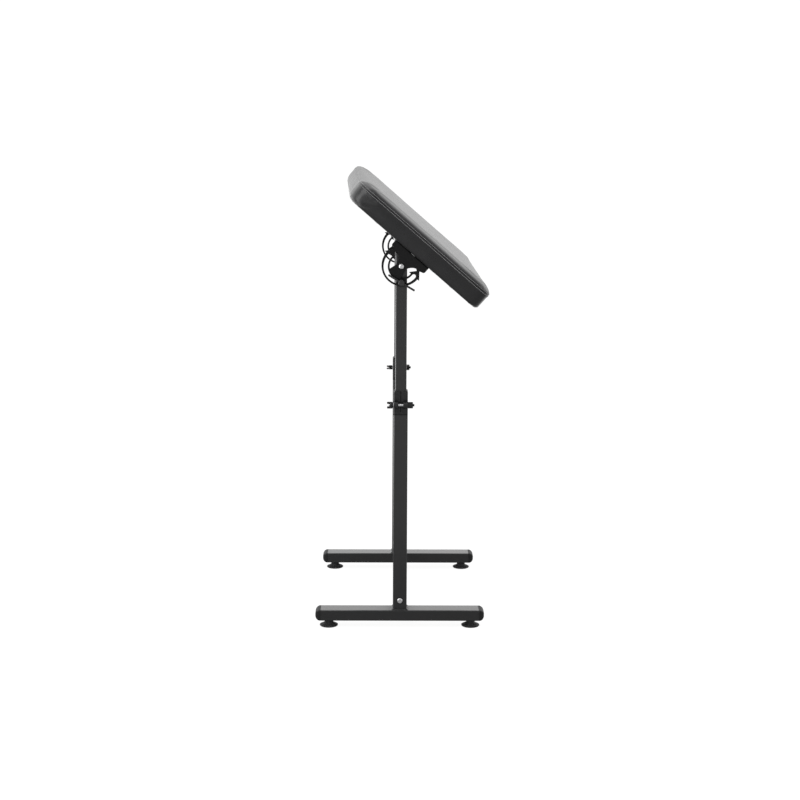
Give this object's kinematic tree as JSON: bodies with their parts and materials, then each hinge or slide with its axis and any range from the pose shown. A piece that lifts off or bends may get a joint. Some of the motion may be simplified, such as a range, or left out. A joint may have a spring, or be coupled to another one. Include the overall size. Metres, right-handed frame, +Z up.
{
  "type": "tattoo arm rest stand",
  "caption": "Height and tilt adjustable arm rest stand with a padded black top on two telescopic square posts",
  "frame": {"origin": "on the floor, midway between the two posts along the pad and across the stand", "axes": "+Z up, +X across the pad towards its raised edge, +Y along the pad and the cross beam"},
  "size_m": [0.432, 0.6146, 1.1374],
  "materials": {
    "black_paint": "satin black powder coat, fine orange peel",
    "black_plastic": "moulded nylon, faint grain",
    "black_rubber": "soft matt rubber",
    "bright_steel": "bright zinc plated steel",
    "black_leather": "black vinyl leather, fine grain, soft sheen",
    "backing_fabric": "thin non-woven black cloth",
    "foam": "open-cell cushion foam",
    "plywood": "plain birch plywood"
  },
  "bodies": {
    "base": {"foot_bar_near": "black_paint", "foot_bar_far": "black_paint", "end_cap_near_left": "black_plastic", "end_cap_near_right": "black_plastic", "end_cap_far_left": "black_plastic", "end_cap_far_right": "black_plastic", "suction_foot_near_left": "black_rubber", "suction_foot_near_right": "black_rubber", "suction_foot_far_left": "black_rubber", "suction_foot_far_right": "black_rubber", "foot_studs": "bright_steel", "foot_inserts": "bright_steel", "lower_post_near": "black_paint", "lower_post_far": "black_paint", "cross_beam": "black_paint", "beam_nut_plugs": "black_plastic", "beam_bolts": "bright_steel", "clamp_collar_near": "black_plastic", "clamp_collar_far": "black_plastic", "clamp_bolts": "bright_steel", "clamp_washers": "bright_steel", "clamp_cap_near": "black_plastic", "clamp_cap_far": "black_plastic"},
    "uprights": {"upper_tube_near": "black_paint", "upper_tube_far": "black_paint", "tube_glide_near": "black_plastic", "tube_glide_far": "black_plastic", "top_plug_near": "black_plastic", "top_plug_far": "black_plastic", "pivot_bolts": "bright_steel", "pivot_washers": "bright_steel", "pivot_nuts": "bright_steel", "pivot_spacers": "black_plastic", "lock_inserts": "bright_steel"},
    "arm_pad": {"tilt_plate_near": "black_paint", "tilt_plate_far": "black_paint", "pad_board": "plywood", "pad_foam": "foam", "pad_side_cover": "black_leather", "pad_top_cover": "black_leather", "pad_backing_cloth": "backing_fabric", "pad_staples": "bright_steel", "pad_tee_nuts": "bright_steel", "pad_screws": "bright_steel"},
    "lock_handle_near": {"lock_screw_near": "black_paint", "lock_bar_near": "black_paint", "lock_washer_near": "bright_steel"},
    "lock_handle_far": {"lock_screw_far": "black_paint", "lock_bar_far": "black_paint", "lock_washer_far": "bright_steel"},
    "clamp_nut_near": {"wing_nut_near": "black_plastic"},
    "clamp_nut_far": {"wing_nut_far": "black_plastic"}
  },
  "joints": [
    {"name": "height_slide", "type": "slide", "parent": "base", "child": "uprights", "axis": [0, 0, 1], "range_m": [-0.215, 0.13]},
    {"name": "pad_tilt", "type": "hinge", "parent": "uprights", "child": "arm_pad", "pos_m": [0, 0, 0.917], "axis": [0, 1, 0], "range_deg": [-131, 49]},
    {"name": "lock_turn_near", "type": "hinge", "parent": "uprights", "child": "lock_handle_near", "pos_m": [0, -0.2796, 0.8785], "axis": [0, -1, 0], "range_deg": [0, 360]},
    {"name": "lock_turn_far", "type": "hinge", "parent": "uprights", "child": "lock_handle_far", "pos_m": [0, 0.2796, 0.8785], "axis": [0, 1, 0], "range_deg": [0, 360]},
    {"name": "clamp_turn_near", "type": "hinge", "parent": "base", "child": "clamp_nut_near", "pos_m": [-0.0187, -0.2855, 0.575], "axis": [-1, 0, 0], "range_deg": [0, 360]},
    {"name": "clamp_turn_far", "type": "hinge", "parent": "base", "child": "clamp_nut_far", "pos_m": [-0.0187, 0.2855, 0.575], "axis": [-1, 0, 0], "range_deg": [0, 360]}
  ]
}
